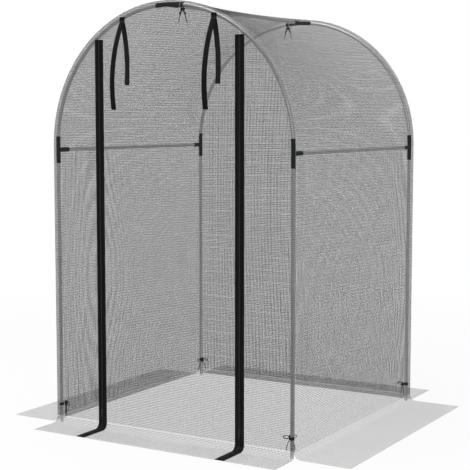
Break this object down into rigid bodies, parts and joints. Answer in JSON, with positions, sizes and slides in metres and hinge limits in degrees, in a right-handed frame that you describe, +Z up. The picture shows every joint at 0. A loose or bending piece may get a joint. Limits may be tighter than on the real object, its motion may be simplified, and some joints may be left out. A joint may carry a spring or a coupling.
{
  "type": "fruit cage",
  "caption": "Walk-in garden fruit cage with a hooped tube frame, arched roof, net cover, zipped door flap, roll-up straps, tie bows and ground skirts.",
  "frame": {"origin": "on the ground at the centre of the foot of the part's bounding box, skirts included, 47 mm behind the point below the middle of the roof", "axes": "+Z up, the door faces -Y, +X to the right when facing the cage's back from its door"},
  "size_m": [1.7424, 1.6484, 1.8821],
  "materials": {
    "steel": "satin grey tube",
    "connector_plastic": "moulded, dark green-black",
    "netting": "grey square-mesh net",
    "zip_fabric": "black woven tape",
    "zip_plastic": "black moulded teeth",
    "slider_metal": "black painted",
    "webbing": "black webbing",
    "lace": "black lace"
  },
  "bodies": {
    "cage": {"leg_front_left": "steel", "leg_front_right": "steel", "leg_back_left": "steel", "leg_back_right": "steel", "arch_tube_front_left": "steel", "arch_tube_front_right": "steel", "arch_tube_back_left": "steel", "arch_tube_back_right": "steel", "brace_tube_left": "steel", "brace_tube_right": "steel", "ridge_tube": "steel", "side_tee_front_left": "connector_plastic", "side_tee_front_right": "connector_plastic", "side_tee_back_left": "connector_plastic", "side_tee_back_right": "connector_plastic", "apex_tee_front": "connector_plastic", "apex_tee_back": "connector_plastic", "net_wall_left": "netting", "net_wall_right": "netting", "net_wall_back": "netting", "net_roof": "netting", "net_front_left": "netting", "net_front_right": "netting", "net_front_top": "netting", "skirt_left": "netting", "skirt_right": "netting", "skirt_back": "netting", "skirt_front_left": "netting", "skirt_front_right": "netting", "zip_tape_left": "zip_fabric", "zip_tape_right": "zip_fabric", "zip_teeth_left": "zip_plastic", "zip_teeth_right": "zip_plastic", "tie_front_left": "lace", "tie_front_right": "lace", "tie_back_left": "lace", "tie_back_right": "lace", "tie_apex_front": "lace", "tie_apex_back": "lace"},
    "door": {"door_net": "netting", "door_skirt": "netting", "door_tape_left": "zip_fabric", "door_tape_right": "zip_fabric", "door_teeth_left": "zip_plastic", "door_teeth_right": "zip_plastic"},
    "slider_left": {"zip_slider_left": "slider_metal"},
    "slider_right": {"zip_slider_right": "slider_metal"},
    "pull_left": {"zip_pull_left": "slider_metal"},
    "pull_right": {"zip_pull_right": "slider_metal"},
    "outer_strap_left": {"strap_outer_left": "webbing"},
    "outer_strap_right": {"strap_outer_right": "webbing"},
    "inner_strap_left": {"strap_inner_left": "webbing"},
    "inner_strap_right": {"strap_inner_right": "webbing"}
  },
  "joints": [
    {"name": "door_swing", "type": "hinge", "parent": "cage", "child": "door", "pos_m": [0, -0.65756, 1.73507], "axis": [-1, 0, 0], "range_deg": [0, 90]},
    {"name": "zip_left_slide", "type": "slide", "parent": "door", "child": "slider_left", "axis": [0, 0, 1], "range_m": [0, 1.62]},
    {"name": "zip_right_slide", "type": "slide", "parent": "door", "child": "slider_right", "axis": [0, 0, 1], "range_m": [0, 1.62]},
    {"name": "zip_pull_left_swing", "type": "hinge", "parent": "slider_left", "child": "pull_left", "pos_m": [-0.357, -0.66386, 0.085], "axis": [-1, 0, 0], "range_deg": [0, 150]},
    {"name": "zip_pull_right_swing", "type": "hinge", "parent": "slider_right", "child": "pull_right", "pos_m": [0.357, -0.66386, 0.085], "axis": [-1, 0, 0], "range_deg": [0, 150]},
    {"name": "outer_strap_left_swing", "type": "hinge", "parent": "cage", "child": "outer_strap_left", "pos_m": [-0.232, -0.65921, 1.80599], "axis": [-1, 0, 0], "range_deg": [0, 90]},
    {"name": "outer_strap_right_swing", "type": "hinge", "parent": "cage", "child": "outer_strap_right", "pos_m": [0.232, -0.65921, 1.80599], "axis": [-1, 0, 0], "range_deg": [0, 90]},
    {"name": "inner_strap_left_swing", "type": "hinge", "parent": "cage", "child": "inner_strap_left", "pos_m": [-0.232, -0.65591, 1.80599], "axis": [1, 0, 0], "range_deg": [0, 70]},
    {"name": "inner_strap_right_swing", "type": "hinge", "parent": "cage", "child": "inner_strap_right", "pos_m": [0.232, -0.65591, 1.80599], "axis": [1, 0, 0], "range_deg": [0, 70]}
  ],
  "couplings": [
    {"joint": "outer_strap_left_swing", "follows": "door_swing", "ratio": 1},
    {"joint": "outer_strap_right_swing", "follows": "door_swing", "ratio": 1}
  ]
}
